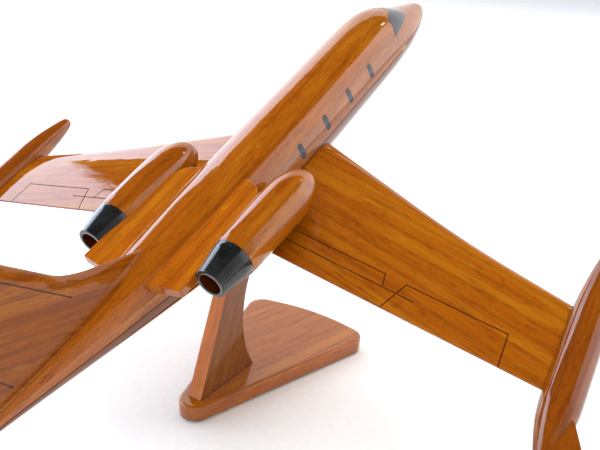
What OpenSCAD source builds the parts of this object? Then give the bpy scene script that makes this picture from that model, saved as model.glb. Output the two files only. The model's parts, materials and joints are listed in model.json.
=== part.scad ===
// Varnished wooden display model of a light business jet on its stand.
// Frame: millimetres, +Z up, nose toward -Y, port side +X, table at Z = 0.

/* [Stand] */
// Nose-up angle of the aircraft on the stand, degrees
nose_up = 25.7; // [24:0.1:28]
// Height of the aircraft datum above the table
datum_h = 195.9; // [190:0.5:200]
// Thickness of the base board
base_t = 8.2; // [6:0.2:12]
// Length of the base triangle before its corners are rounded
base_len = 138; // [130:1:150]
// Half width of the base triangle before its corners are rounded
base_half = 42.8; // [38:0.2:50]
// Thickness of the felt under the base board
felt_t = 1.0; // [0.5:0.1:2]
// Thickness of the stand post
post_t = 7.6; // [6.6:0.2:10]
// Diameter of the two steel locating pins
pin_d = 3.0; // [2:0.1:3.6]
// Radial clearance of the pins in the belly holes
pin_fit = 0.05; // [0.02:0.01:0.1]

/* [Fuselage] */
// Squareness of the body sections, 2 is an ellipse
section_power = 2.15; // [2:0.05:2.6]
// Depth of the inlaid windows below the body surface
inlay_depth = 0.5; // [0.3:0.1:0.8]
// Length of a cabin window along the body
window_len = 3.6; // [3:0.2:7]
// Height of a cabin window
window_h = 7.8; // [6:0.2:10]

/* [Wing] */
// Thickness of the wing at the root
wing_t_root = 7.4; // [6.6:0.2:7.6]
// Thickness of the wing at the tip
wing_t_tip = 4.6; // [4:0.2:6]
// Width of the scribed lines
line_w = 0.5; // [0.3:0.1:0.8]
// Depth of the scribed lines
line_d = 0.45; // [0.2:0.05:0.8]

/* [Tanks] */
// Greatest radius of a tip tank
tank_r = 7.4; // [6.5:0.1:8.5]

/* [Nacelles] */
// Radius of a nacelle
nacelle_r = 10.6; // [10.2:0.1:11.4]
// Radius of the nozzle at its aft lip
nozzle_aft_r = 6.7; // [6.2:0.1:8]
// Radius of the nozzle bore
nozzle_bore_r = 4.9; // [4:0.1:5.4]

/* [Tail] */
// Thickness of the fin at its root
fin_t = 5.0; // [4:0.2:6]
// Height of the fin tip above the aircraft datum
fin_top = 76; // [72:1:82]
// Half span of the tailplane
tailplane_half = 50; // [44:1:60]

/* [Hidden] */

wood = [0.66, 0.36, 0.13];
dark = [0.06, 0.06, 0.07];
steel = [0.72, 0.72, 0.74];

base_mid = 177.8;
nose_off = 10;
belly_z = -17.1;
lift_gap = 0.35;
glue_gap = 0.03;
arc_n = 10;

// fuselage stations: distance aft of the nose, half width, top, waist and bottom heights
STN = [
  [-6, 1.6, -7.8, -9.2, -10.8],
  [-4.8, 3.4, -6.2, -9.0, -12.0],
  [-2, 5.4, -4.2, -8.6, -13.2],
  [4, 8.1, -1.8, -7.8, -14.4],
  [11, 10.4, 0.9, -6.9, -15.3],
  [19, 12.8, 4.2, -5.9, -16.0],
  [27, 14.7, 7.6, -4.9, -16.5],
  [35, 16.3, 11.6, -4.0, -16.8],
  [43, 17.5, 15.2, -3.2, -17.0],
  [51, 18.3, 18.0, -2.5, -17.1],
  [60, 18.9, 20.0, -2.1, -17.1],
  [70, 19.1, 21.0, -1.9, -17.1],
  [82, 19.2, 21.3, -1.7, -17.1],
  [150, 19.2, 21.3, -0.6, -17.1],
  [206, 19.2, 21.3, 0.4, -17.1],
  [220, 18.9, 21.3, 1.2, -16.6],
  [234, 17.9, 21.2, 2.4, -14.6],
  [248, 16.3, 21.1, 3.8, -11.4],
  [262, 14.6, 21.0, 5.4, -7.9],
  [276, 12.8, 20.9, 7.1, -4.3],
  [290, 11.0, 20.8, 8.9, -0.6],
  [304, 9.2, 20.7, 10.8, 3.2],
  [318, 7.3, 20.6, 12.8, 6.8],
  [331, 5.5, 20.4, 14.6, 10.0],
  [343, 4.0, 20.2, 16.2, 12.9],
  [354, 2.7, 20.0, 17.5, 15.3],
  [361, 1.6, 19.7, 18.3, 16.9],
  [364, 0.7, 19.2, 18.6, 18.0]
];

// wing plan: root and tip stations in distance aft of the nose
root_x = 16.9;
tip_x = 153;
tip_end = 156.2;
kink_x = 104;
kink_blend = 24;
le_root = 145.2;
le_tip = 193.7;
le_kink_back = 3.75;
te_root = 220;
te_tip = 234.7;
z_root = -4.6;
z_tip = -18.6;

tank_x = 161.2;
tank_s0 = 163.6;
tank_len = 101;
tank_z = -18.2;
tank_pitch = 3.5;

nac_x = 32.6;
nac_z = 13.0;
nac_nose = 186.6;
nac_wide = 208;
nac_aft = 243.8;
nac_toe = 1.15;
nac_tilt = 2.3;
noz_front_r = 9.5;
noz_aft = 259.6;
spigot_r = 6.2;
spigot_len = 3.5;

pylon_z0 = 13.0;
pylon_z1 = 17.1;

fin_le0 = 258.7;
fin_kink_s = 292.3;
fin_kink_z = 38.4;
fin_bend = 6;
fin_le_slope = 0.687;
fin_te0 = 354;
fin_te_slope = 0.25;
fin_foot_z = 18.4;
tail_z = fin_top;

module attitude() {
  translate([0, -base_mid, datum_h])
    rotate([-nose_up, 0, 0])
      translate([0, nose_off, 0])
        children();
}

function spow(v, e) = sign(v) * pow(abs(v), e);

// one half section, from the starboard waist over to the port waist
function half_ring(st, d, up, n) = [
  for (i = [0 : n])
    let (a = 180 - 180 * i / n, e = 2 / section_power)
      [
        (st[1] + d) * spow(cos(a), e),
        st[0],
        st[3] + (up ? (st[2] - st[3] + d) : -(st[3] - st[4] + d)) * pow(max(sin(a), 0), e)
      ]
];

function mid(r) = [for (p = r) 1] * r / len(r);

function area_vector(r) = [for (p = r) 1] * [for (i = [0 : len(r) - 1]) cross(r[i], r[(i + 1) % len(r)])];

function reversed(r) = [for (i = [len(r) - 1 : -1 : 0]) r[i]];

// closed loft through rings of equal point count, whichever way the rings turn
module loft(rings) {
  m = len(rings);
  n = len(rings[0]);
  turn = area_vector(rings[0]) * (mid(rings[m - 1]) - mid(rings[0]));
  pts = [for (r = rings) each (turn > 0 ? reversed(r) : r)];
  sides = [
    for (k = [0 : m - 2], i = [0 : n - 1])
      let (j = (i + 1) % n)
        each [[k * n + i, k * n + j, (k + 1) * n + j], [k * n + i, (k + 1) * n + j, (k + 1) * n + i]]
  ];
  first = [for (i = [n - 1 : -1 : 0]) i];
  last = [for (i = [0 : n - 1]) (m - 1) * n + i];
  polyhedron(points = pts, faces = concat([first], sides, [last]), convexity = 6);
}

module body_half(d, up) {
  loft([for (st = STN) half_ring(st, d, up, 24)]);
}

// the whole fuselage section between two stations, grown by d
module body_core(d, from, to) {
  loft([
    for (st = STN)
      if (st[0] >= from && st[0] <= to)
        concat(
          half_ring(st, d, true, 24),
          [for (i = [23 : -1 : 1]) half_ring(st, d, false, 24)[i]]
        )
  ]);
}

// outline of a polygon whose corners carry their own radius, shrunk by d
function corner_arc(p, q, r, rad, d) =
  let (
    u = (p - q) / norm(p - q),
    v = (r - q) / norm(r - q),
    b = (u + v) / norm(u + v),
    half = acos(u * v) / 2,
    c = q + b * (rad / sin(half)),
    a0 = atan2(-b[1], -b[0]) - (90 - half),
    a1 = atan2(-b[1], -b[0]) + (90 - half)
  )
  [for (i = [0 : arc_n]) c + (rad - d) * [cos(a0 + (a1 - a0) * i / arc_n), sin(a0 + (a1 - a0) * i / arc_n)]];

base_tip = [0, base_len / 2];
base_bow = [0, -base_len / 2 - 2.2];
base_side = [base_half * 0.955, base_len / 2 - base_len * 0.955];
base_side_m = [-base_side[0], base_side[1]];
function base_outline(d) = concat(
  corner_arc(base_side, base_tip, base_side_m, 8.5, d),
  corner_arc(base_tip, base_side_m, base_bow, 9.5, d),
  corner_arc(base_side_m, base_bow, base_side, 110, d),
  corner_arc(base_bow, base_side, base_tip, 9.5, d)
);

function at_z(pts, z) = [for (p = pts) [p[0], p[1], z]];

module base_board() {
  z0 = felt_t;
  z1 = felt_t + base_t;
  color(wood)
    difference() {
      loft([
        at_z(base_outline(0.6), z0),
        at_z(base_outline(0), z0 + 0.6),
        at_z(base_outline(0), z1 - 1.2),
        at_z(base_outline(0.35), z1 - 0.4),
        at_z(base_outline(1.1), z1)
      ]);
      for (y = screw_y) {
        translate([0, y, z0 - 1])
          cylinder(h = base_t + 3, d = 3.4, $fn = 32);
        translate([0, y, z0 - 0.01])
          cylinder(h = 2.4, d1 = 7.2, d2 = 3.4, $fn = 32);
      }
    }
}

screw_y = [12, 30];

module base_felt() {
  color([0.05, 0.05, 0.05])
    difference() {
      linear_extrude(felt_t)
        polygon(base_outline(1.6));
      for (y = screw_y)
        translate([0, y, -1])
          cylinder(h = felt_t + 2, d = 8, $fn = 32);
    }
}

// hollowed front edge of the post: arc through foot, waist and shoulder
function post_front(h) =
  let (r = 56, yc = -46.6, hc = 31.5)
  h < 52 ? yc + sqrt(r * r - (h - hc) * (h - hc)) : (yc + sqrt(r * r - 20.5 * 20.5)) - (h - 52) * 0.42;

module post_outline() {
  front = [for (i = [0 : 13]) [post_front(i * 4), i * 4]];
  polygon(concat(
    front,
    [[post_front(104), 104], [3, 104]],
    [[42.1, 0]]
  ));
}

module stand_post() {
  color(wood)
    difference() {
      translate([0, 0, felt_t + base_t])
        rotate([90, 0, 90])
          linear_extrude(post_t, center = true)
            post_outline();
      attitude()
        translate([-40, 120, belly_z - lift_gap])
          cube([80, 160, 80]);
      for (y = screw_y)
        translate([0, y, felt_t])
          cylinder(h = base_t + 16, d = 2.6, $fn = 24);
      attitude()
        for (s = pin_s)
          translate([0, s, belly_z - 12])
            cylinder(h = 14, d = pin_d, $fn = 32);
    }
}

pin_s = [191, 203];

module post_screws() {
  color(steel)
    for (y = screw_y)
      translate([0, y, felt_t]) {
        cylinder(h = base_t, d = 3.2, $fn = 32);
        translate([0, 0, base_t - 0.01])
          cylinder(h = 14, d = 2.6, $fn = 24);
        translate([0, 0, 0.1])
          cylinder(h = 2.1, d1 = 6.8, d2 = 3.2, $fn = 32);
      }
}

module locating_pins() {
  color(steel)
    attitude()
      for (s = pin_s)
        translate([0, s, belly_z - 12]) {
          cylinder(h = 19, d = pin_d, $fn = 32);
          translate([0, 0, 19])
            cylinder(h = 0.8, d1 = pin_d, d2 = pin_d - 1, $fn = 32);
        }
}

// plan of the windshield, mirrored about the centre line
WS = [
  [0, 33.0], [5.5, 33.2], [9.6, 34.2], [13.4, 39.0], [15.6, 48.5],
  [17.3, 60.2], [13.7, 56.4], [11.9, 57.3], [5.4, 44.2], [0, 43.0]
];

module windshield_plan() {
  linear_extrude(40)
    polygon(concat(WS, [for (i = [len(WS) - 2 : -1 : 1]) [-WS[i][0], WS[i][1]]]));
}

// the thin shell of the cabin that every inlay is cut from
module inlay_skin() {
  difference() {
    body_core(0.12, 19, 206);
    body_core(-inlay_depth, 19, 206);
  }
}

module windshield() {
  color(dark)
    attitude()
      intersection() {
        windshield_plan();
        inlay_skin();
      }
}

function window_s(i) = 168 - 24.5 * i;

// one rounded window blank standing out along +X
module window_blank(i, gap) {
  r = 1.3 + gap;
  translate([10, window_s(i), 6.6])
    rotate([90, 0, 90])
      linear_extrude(14)
        polygon([
          for (c = [[1, 1], [-1, 1], [-1, -1], [1, -1]], k = [0 : 4])
            let (q = c[0] > 0 ? (c[1] > 0 ? 0 : 270) : (c[1] > 0 ? 90 : 180), a = q + k * 22.5)
              [c[0] * (window_len / 2 + gap - r) + r * cos(a), c[1] * (window_h / 2 + gap - r) + r * sin(a)]
        ]);
}

module window_inlay(i) {
  color(dark)
    intersection() {
      window_blank(i, 0);
      inlay_skin();
    }
}

module window_port_1() {
  attitude() window_inlay(0);
}
module window_port_2() {
  attitude() window_inlay(1);
}
module window_port_3() {
  attitude() window_inlay(2);
}
module window_port_4() {
  attitude() window_inlay(3);
}
module window_starboard_1() {
  attitude() mirror([1, 0, 0]) window_inlay(0);
}
module window_starboard_2() {
  attitude() mirror([1, 0, 0]) window_inlay(1);
}
module window_starboard_3() {
  attitude() mirror([1, 0, 0]) window_inlay(2);
}
module window_starboard_4() {
  attitude() mirror([1, 0, 0]) window_inlay(3);
}

module fuselage_upper() {
  color(wood)
    attitude()
      difference() {
        body_half(0, true);
        difference() {
          union() {
            windshield_plan();
            for (i = [0 : 3], m = [0, 1])
              mirror([m, 0, 0])
                window_blank(i, glue_gap);
          }
          body_core(-inlay_depth - glue_gap, 19, 206);
        }
        fin_foot();
        for (m = [0, 1])
          mirror([m, 0, 0])
            pylon_rods();
      }
}

module fuselage_lower() {
  color(wood)
    attitude()
      difference() {
        body_half(0, false);
        for (s = pin_s)
          translate([0, s, belly_z - 4])
            cylinder(h = 12.6, d = pin_d + 2 * pin_fit, $fn = 32);
        for (m = [0, 1])
          mirror([m, 0, 0])
            wing_rods();
      }
}

// wing geometry
function span_t(x) = (x - root_x) / (tip_x - root_x);
// set-back of the leading edge, straight to the kink and straight beyond it, blended between
function set_back(x) =
  let (
    inner = le_kink_back / (kink_x - root_x),
    outer = -le_kink_back / (tip_x - kink_x),
    d = x - kink_x
  )
  d < -kink_blend ? le_kink_back + inner * d
  : d > kink_blend ? le_kink_back + outer * d
  : le_kink_back + inner * d + (outer - inner) * pow(d + kink_blend, 2) / (4 * kink_blend);
function le_s(x) = le_root + span_t(x) * (le_tip - le_root) + set_back(x);
function te_s(x) = te_root + span_t(x) * (te_tip - te_root);
function mid_z(x) = z_root + span_t(x) * (z_tip - z_root);
function wing_t(x) = wing_t_root + span_t(x) * (wing_t_tip - wing_t_root);
function foil(u) =
  10 * (0.2969 * sqrt(u) - 0.1260 * u - 0.3516 * u * u + 0.2843 * pow(u, 3) - 0.1036 * pow(u, 4));
function half_t(u, t, edge) = t / 2 * foil(u) * (1 - 0.1 * u) + edge * u;
function wing_pt(x, u, side) = [
  x,
  le_s(x) + u * (te_s(x) - le_s(x)),
  mid_z(x) + side * half_t(u, wing_t(x), 0.5)
];
foil_u = [for (i = [0 : 14]) 0.5 - 0.5 * cos(180 * i / 14)];
function wing_ring(x) = concat(
  [for (i = [14 : -1 : 0]) wing_pt(x, foil_u[i], 1)],
  [for (i = [1 : 14]) wing_pt(x, foil_u[i], -1)]
);

// a narrow slot along a surface line from p to q
module scribe(p, q) {
  v = q - p;
  l = norm(v);
  translate(p)
    rotate([0, -asin(v[2] / l), atan2(v[1], v[0])])
      translate([-line_w / 2, -line_w / 2, -line_d])
        cube([l + line_w, line_w, line_d + 3]);
}

// surface point of the wing top at span x and distance s aft of the nose
function top_at(x, s) = wing_pt(x, (s - le_s(x)) / (te_s(x) - le_s(x)), 1);

WING_LINES = [
  [[22, 211.4], [98, 220.2]],
  [[22, 205.2], [82, 212.2]],
  [[82, 212.2], [83.6, 218.6]],
  [[92.2, 213.8], [136.2, 218.7]],
  [[92.2, 213.8], [86.2, 229]],
  [[136.2, 218.7], [137.2, 234.6]]
];

module wing_side() {
  color(wood)
    difference() {
      loft([
        wing_ring(10),
        for (x = [kink_x - kink_blend : kink_blend / 2 : kink_x + kink_blend]) wing_ring(x),
        wing_ring(tip_end)
      ]);
      body_core(0, 82, 304);
      for (l = WING_LINES)
        scribe(top_at(l[0][0], l[0][1]), top_at(l[1][0], l[1][1]));
      wing_rods();
      tank_rod();
    }
}

module wing_rods() {
  for (s = [168, 198])
    translate([9, s, mid_z(9) + 0.2])
      rotate([0, 90 + atan2(z_root - z_tip, tip_x - root_x), 0])
        cylinder(h = 22, d = 3, $fn = 24);
}

module tank_rod() {
  translate([tip_x - 8, 214, mid_z(tip_x - 8)])
    rotate([0, 90 + atan2(z_root - z_tip, tip_x - root_x), 0])
      cylinder(h = 14, d = 2.2, $fn = 24);
}

module wing_port() {
  attitude() wing_side();
}
module wing_starboard() {
  attitude() mirror([1, 0, 0]) wing_side();
}
module wing_dowels_port() {
  color(wood) attitude() wing_rods();
}
module wing_dowels_starboard() {
  color(wood) attitude() mirror([1, 0, 0]) wing_rods();
}
module tank_dowel_port() {
  color(wood) attitude() tank_rod();
}
module tank_dowel_starboard() {
  color(wood) attitude() mirror([1, 0, 0]) tank_rod();
}

// tip tanks
TANK = [
  [0, 0], [0.4, 1.6], [1.6, 2.8], [6, 4.1], [18, 6.0], [29, 7.1], [36, 7.4],
  [73, 7.4], [80, 6.9], [87, 5.6], [94, 3.6], [99, 1.7], [101, 0]
];

module tank_place() {
  translate([tank_x, tank_s0 + tank_len / 2, tank_z])
    rotate([-tank_pitch, 0, 0])
      translate([0, -tank_len / 2, 0])
        children();
}

module tank_solid() {
  k = tank_r / 7.4;
  tank_place()
    rotate([-90, 0, 0])
      rotate_extrude($fn = 64)
        polygon([for (p = TANK) [p[1] * k, p[0]]]);
}

module tank_side() {
  color(wood)
    difference() {
      tank_solid();
      loft([wing_ring(140), wing_ring(tip_end)]);
      tank_rod();
    }
}

module tip_tank_port() {
  attitude() tank_side();
}
module tip_tank_starboard() {
  attitude() mirror([1, 0, 0]) tank_side();
}

module tank_fin_side() {
  color(wood)
    difference() {
      tank_place()
        translate([0, 0, 2.7])
          linear_extrude(1.6)
            polygon([[2, 78], [6.6, 81], [17.5, 102], [17.5, 107], [0.5, 103]]);
      tank_solid();
    }
}

module tank_fin_port() {
  attitude() tank_fin_side();
}
module tank_fin_starboard() {
  attitude() mirror([1, 0, 0]) tank_fin_side();
}

// pylons and nacelles
module pylon_rods() {
  for (s = [218, 238])
    translate([8, s, (pylon_z0 + pylon_z1) / 2])
      rotate([0, 90, 0])
        cylinder(h = 17, d = 2, $fn = 24);
}

module nacelle_place() {
  translate([nac_x, 245, nac_z])
    rotate([nac_tilt, 0, nac_toe])
      translate([0, -245, 0])
        rotate([-90, 0, 0])
          children();
}

module nacelle_solid() {
  nacelle_place()
    rotate_extrude($fn = 72)
      polygon(concat(
        [for (i = [0 : 14])
          let (a = 90 * i / 14)
          [nacelle_r * sin(a), nac_wide - (nac_wide - nac_nose) * cos(a)]],
        [
          [nacelle_r, 215],
          [nacelle_r - 0.4, 230],
          [noz_front_r, nac_aft],
          [spigot_r, nac_aft],
          [spigot_r, nac_aft + spigot_len],
          [0, nac_aft + spigot_len]
        ]
      ));
}

module pylon_side() {
  color(wood)
    difference() {
      translate([0, 0, pylon_z0])
        linear_extrude(pylon_z1 - pylon_z0)
          polygon([
            [4, 204], [13.4, 204.2], [18.1, 205.6], [20.8, 207.4], [23, 210],
            [26, 217], [26.4, 268.2], [25.9, 268.9], [4, 272.8]
          ]);
      body_core(0, 82, 304);
      nacelle_solid();
      nozzle_solid();
      pylon_rods();
    }
}

module pylon_port() {
  attitude() pylon_side();
}
module pylon_starboard() {
  attitude() mirror([1, 0, 0]) pylon_side();
}
module pylon_dowels_port() {
  color(wood) attitude() pylon_rods();
}
module pylon_dowels_starboard() {
  color(wood) attitude() mirror([1, 0, 0]) pylon_rods();
}

module nacelle_side() {
  color(wood)
    difference() {
      nacelle_solid();
      pylon_rods();
    }
}
module nacelle_port() {
  attitude() nacelle_side();
}
module nacelle_starboard() {
  attitude() mirror([1, 0, 0]) nacelle_side();
}

module nozzle_solid() {
  nacelle_place()
    rotate_extrude($fn = 72)
      polygon([
        [0, nac_aft], [noz_front_r, nac_aft],
        [nozzle_aft_r + 0.3, noz_aft - 0.4], [nozzle_aft_r, noz_aft], [0, noz_aft]
      ]);
}

module nozzle_side() {
  color(dark)
    nacelle_place()
      rotate_extrude($fn = 72)
        polygon([
          [spigot_r, nac_aft],
          [noz_front_r, nac_aft],
          [nozzle_aft_r + 0.3, noz_aft - 0.4],
          [nozzle_aft_r, noz_aft],
          [nozzle_bore_r, noz_aft],
          [nozzle_bore_r, nac_aft + spigot_len],
          [spigot_r, nac_aft + spigot_len]
        ]);
}

module nozzle_port() {
  attitude() nozzle_side();
}
module nozzle_starboard() {
  attitude() mirror([1, 0, 0]) nozzle_side();
}

// fin and tailplane
// leading edge of the dorsal fillet and the fin, with a bend blended over fin_bend above and below the kink
function fin_le(z) =
  let (low_slope = (fin_kink_s - fin_le0) / (fin_kink_z - 21), d = z - fin_kink_z)
  d < -fin_bend ? fin_le0 + low_slope * max(0, z - 21)
  : d > fin_bend ? fin_kink_s + d * fin_le_slope
  : fin_kink_s + low_slope * d + (fin_le_slope - low_slope) * pow(d + fin_bend, 2) / (4 * fin_bend);
function fin_te(z) = fin_te0 + max(0, z - 21) * fin_te_slope;
function fin_half(z, u) =
  let (t = fin_t / 2 * (1 - 0.35 * (z - 21) / (fin_top - 21)))
  t * pow(sin(90 * min(1, u / 0.28)), 0.7) * (u > 0.6 ? 1 - 0.62 * (u - 0.6) / 0.4 : 1) + 0.02;
fin_u = [0, 0.02, 0.06, 0.12, 0.2, 0.3, 0.45, 0.6, 0.8, 1];
function fin_ring(z, zs) = concat(
  [for (u = fin_u) [fin_half(zs, u), fin_le(zs) + u * (fin_te(zs) - fin_le(zs)), z]],
  [for (i = [len(fin_u) - 1 : -1 : 0])
    let (u = fin_u[i])
    [-fin_half(zs, u), fin_le(zs) + u * (fin_te(zs) - fin_le(zs)), z]]
);

module fin_foot() {
  loft([fin_ring(fin_foot_z, 21), fin_ring(30, 21)]);
}

function fin_pt(z, s, side) =
  let (u = (s - fin_le(z)) / (fin_te(z) - fin_le(z)))
  [side * fin_half(z, u), s, z];

// a scribed line on both sides of the fin, cut in short lengths that follow the surface
module fin_scribe(z0, s0, z1, s1) {
  n = 5;
  for (side = [-1, 1], k = [0 : n - 1]) {
    p = fin_pt(z0 + (z1 - z0) * k / n, s0 + (s1 - s0) * k / n, side);
    q = fin_pt(z0 + (z1 - z0) * (k + 1) / n, s0 + (s1 - s0) * (k + 1) / n, side);
    v = q - p;
    l = norm(v);
    translate([p[0], p[1], p[2]])
      rotate([atan2(-v[1], v[2]), asin(v[0] / l), 0])
        translate([side > 0 ? -line_d : -2, -line_w / 2, -line_w / 2])
          cube([2 + line_d, line_w, l + line_w]);
  }
}

module fin() {
  color(wood)
    attitude()
      difference() {
        loft([
          fin_ring(fin_foot_z, 21),
          fin_ring(21, 21),
          fin_ring(27, 27),
          for (z = [fin_kink_z - fin_bend : fin_bend / 3 : fin_kink_z + fin_bend]) fin_ring(z, z),
          fin_ring(fin_top, fin_top)
        ]);
        fin_scribe(32.1, 295.2, fin_top - 4, 295.2 + (fin_top - 36.1) * 0.66);
        fin_scribe(22.4, 329.0, fin_top - 0.5, 329.0 + (fin_top - 22.9) * 0.34);
        tail_rod();
      }
}

module tail_rod() {
  translate([0, fin_le(fin_top) + 26, fin_top - 7])
    cylinder(h = 9, d = 1.8, $fn = 24);
}

function tp_le(x) = fin_le(fin_top) + 2 + 0.62 * abs(x);
function tp_te(x) = fin_te(fin_top) + 2 + 0.14 * abs(x);
function tp_ring(x) =
  let (t = 4.2 - 1.6 * abs(x) / tailplane_half, c = tp_te(x) - tp_le(x))
  concat(
    [for (i = [14 : -1 : 0]) [x, tp_le(x) + foil_u[i] * c, tail_z + 2.1 + half_t(foil_u[i], t, 0.35)]],
    [for (i = [1 : 14]) [x, tp_le(x) + foil_u[i] * c, tail_z + 2.1 - half_t(foil_u[i], t, 0.35)]]
  );

module tailplane() {
  color(wood)
    attitude()
      difference() {
        loft([tp_ring(-tailplane_half), tp_ring(0), tp_ring(tailplane_half)]);
        tail_rod();
      }
}

module tailplane_dowel() {
  color(wood) attitude() tail_rod();
}

base_board();
base_felt();
stand_post();
post_screws();
locating_pins();
fuselage_upper();
fuselage_lower();
windshield();
window_port_1();
window_port_2();
window_port_3();
window_port_4();
window_starboard_1();
window_starboard_2();
window_starboard_3();
window_starboard_4();
wing_port();
wing_starboard();
wing_dowels_port();
wing_dowels_starboard();
tip_tank_port();
tip_tank_starboard();
tank_fin_port();
tank_fin_starboard();
tank_dowel_port();
tank_dowel_starboard();
pylon_port();
pylon_starboard();
pylon_dowels_port();
pylon_dowels_starboard();
nacelle_port();
nacelle_starboard();
nozzle_port();
nozzle_starboard();
fin();
tailplane();
tailplane_dowel();
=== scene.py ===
import json
import math

import bmesh
import bpy
import numpy as np
from mathutils import Euler, Matrix, Vector


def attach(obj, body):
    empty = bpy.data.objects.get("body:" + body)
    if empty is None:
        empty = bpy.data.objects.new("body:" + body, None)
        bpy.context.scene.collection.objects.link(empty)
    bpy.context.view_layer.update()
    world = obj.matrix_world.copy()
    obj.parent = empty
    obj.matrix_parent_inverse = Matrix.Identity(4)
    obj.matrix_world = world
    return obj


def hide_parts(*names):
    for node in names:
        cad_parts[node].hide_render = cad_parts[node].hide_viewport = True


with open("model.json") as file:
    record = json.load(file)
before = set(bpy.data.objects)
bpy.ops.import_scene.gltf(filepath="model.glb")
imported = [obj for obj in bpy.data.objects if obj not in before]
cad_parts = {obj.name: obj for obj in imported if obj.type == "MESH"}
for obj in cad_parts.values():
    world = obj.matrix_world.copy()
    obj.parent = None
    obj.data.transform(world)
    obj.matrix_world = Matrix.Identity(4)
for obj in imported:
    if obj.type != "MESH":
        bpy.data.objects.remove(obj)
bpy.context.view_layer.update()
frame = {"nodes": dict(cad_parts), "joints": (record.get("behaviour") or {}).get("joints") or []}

nodes = frame["nodes"]
MM = 0.001

# ---------------------------------------------------------------- frame of the aircraft
# The slide joint runs along the locating pins, square to the fuselage, so it gives the nose-up angle.
lift_axis = Vector(frame["joints"][0]["axis"])
NOSE_UP = math.atan2(lift_axis.y, lift_axis.z)
# the point 10 mm ahead of the aircraft frame's origin, in the row frame
DATUM = Vector((0.0, -177.8, 195.9)) * MM
NOSE_OFFSET = 10.0 * MM
AIR = Matrix.Translation(DATUM) @ Matrix.Rotation(-NOSE_UP, 4, "X") @ Matrix.Translation((0, NOSE_OFFSET, 0))
ROW = Matrix.Identity(4)


# ---------------------------------------------------------------- small mathematics
def monotone(xs, ys, x):
    """Monotone cubic curve through (xs, ys), read at x."""
    xs, ys, x = np.asarray(xs, float), np.asarray(ys, float), np.asarray(x, float)
    h = np.diff(xs)
    d = np.diff(ys) / h
    m = np.zeros(len(xs))
    m[0], m[-1] = d[0], d[-1]
    for k in range(1, len(xs) - 1):
        if d[k - 1] * d[k] > 0:
            w1, w2 = 2 * h[k] + h[k - 1], h[k] + 2 * h[k - 1]
            m[k] = (w1 + w2) / (w1 / d[k - 1] + w2 / d[k])
    i = np.clip(np.searchsorted(xs, x, side="right") - 1, 0, len(h) - 1)
    t = (x - xs[i]) / h[i]
    a, b = (1 + 2 * t) * (1 - t) ** 2, t * (1 - t) ** 2
    return a * ys[i] + b * h[i] * m[i] + t * t * (3 - 2 * t) * ys[i + 1] + t * t * (t - 1) * h[i] * m[i + 1]


def smooth_path(points, per_span):
    """Centripetal spline through 2-D points."""
    p = np.asarray(points, float)
    chord = np.maximum(np.linalg.norm(np.diff(p, axis=0), axis=1), 1e-6) ** 0.5
    t = np.concatenate([[0], np.cumsum(chord)])
    spans = [np.linspace(t[k], t[k + 1], per_span, endpoint=False) for k in range(len(t) - 1)]
    u = np.concatenate(spans + [[t[-1]]])
    return np.stack([monotone(t, p[:, 0], u), monotone(t, p[:, 1], u)], 1)


def arc(cx, cy, r, a0, a1, n):
    """Points of an arc, angles in degrees."""
    return [(cx + r * math.cos(math.radians(a0 + (a1 - a0) * i / n)),
             cy + r * math.sin(math.radians(a0 + (a1 - a0) * i / n))) for i in range(n + 1)]


# ---------------------------------------------------------------- mesh helpers
def new_object(name, verts, faces, place, mirror=False, sharp=35.0):
    """A mesh object from points in millimetres in the frame `place`, with its faces turned outward."""
    flip = -1 if mirror else 1
    pts = [place @ Vector((p[0] * flip * MM, p[1] * MM, p[2] * MM)) for p in verts]
    mesh = bpy.data.meshes.new(name)
    mesh.from_pydata([tuple(p) for p in pts], [], [tuple(f) for f in faces])
    bm = bmesh.new()
    bm.from_mesh(mesh)
    bmesh.ops.remove_doubles(bm, verts=bm.verts, dist=1e-7)
    bmesh.ops.recalc_face_normals(bm, faces=bm.faces)
    bm.to_mesh(mesh)
    bm.free()
    shade(mesh, sharp)
    obj = bpy.data.objects.new(name, mesh)
    bpy.context.scene.collection.objects.link(obj)
    return obj


def shade(mesh, sharp):
    """Smooth shading that keeps edges sharper than this many degrees."""
    mesh.polygons.foreach_set("use_smooth", [True] * len(mesh.polygons))
    mesh.set_sharp_from_angle(angle=math.radians(sharp))


def ring_faces(count, size):
    """Faces of a loft through `count` rings of `size` points, with both ends closed."""
    faces = []
    for k in range(count - 1):
        for i in range(size):
            j = (i + 1) % size
            faces.append((k * size + i, k * size + j, (k + 1) * size + j, (k + 1) * size + i))
    faces.append(tuple(range(size - 1, -1, -1)))
    faces.append(tuple((count - 1) * size + i for i in range(size)))
    return faces


def loft(name, rings, place, mirror=False, sharp=35.0):
    """A closed mesh through rings that all have the same number of points."""
    size = len(rings[0])
    verts = [p for r in rings for p in r]
    return new_object(name, verts, ring_faces(len(rings), size), place, mirror, sharp)


def lathe(name, profile, place, local, segments=96, mirror=False, sharp=30.0):
    """Turns (radius, distance along +Y) points about Y, then moves them by the matrix `local` (mm)."""
    verts, faces = [], []
    n = len(profile)
    for k in range(segments):
        a = 2 * math.pi * k / segments
        for r, y in profile:
            verts.append(local @ Vector((r * math.cos(a), y, r * math.sin(a))))
    for k in range(segments):
        q = (k + 1) % segments
        for i in range(n - 1):
            faces.append((k * n + i, q * n + i, q * n + i + 1, k * n + i + 1))
    for i in (0, n - 1):
        if profile[i][0] > 1e-6:
            faces.append(tuple(k * n + i for k in range(segments)))
    return new_object(name, verts, faces, place, mirror, sharp)


CUTTER_CLEARANCE = 1.2


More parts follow.
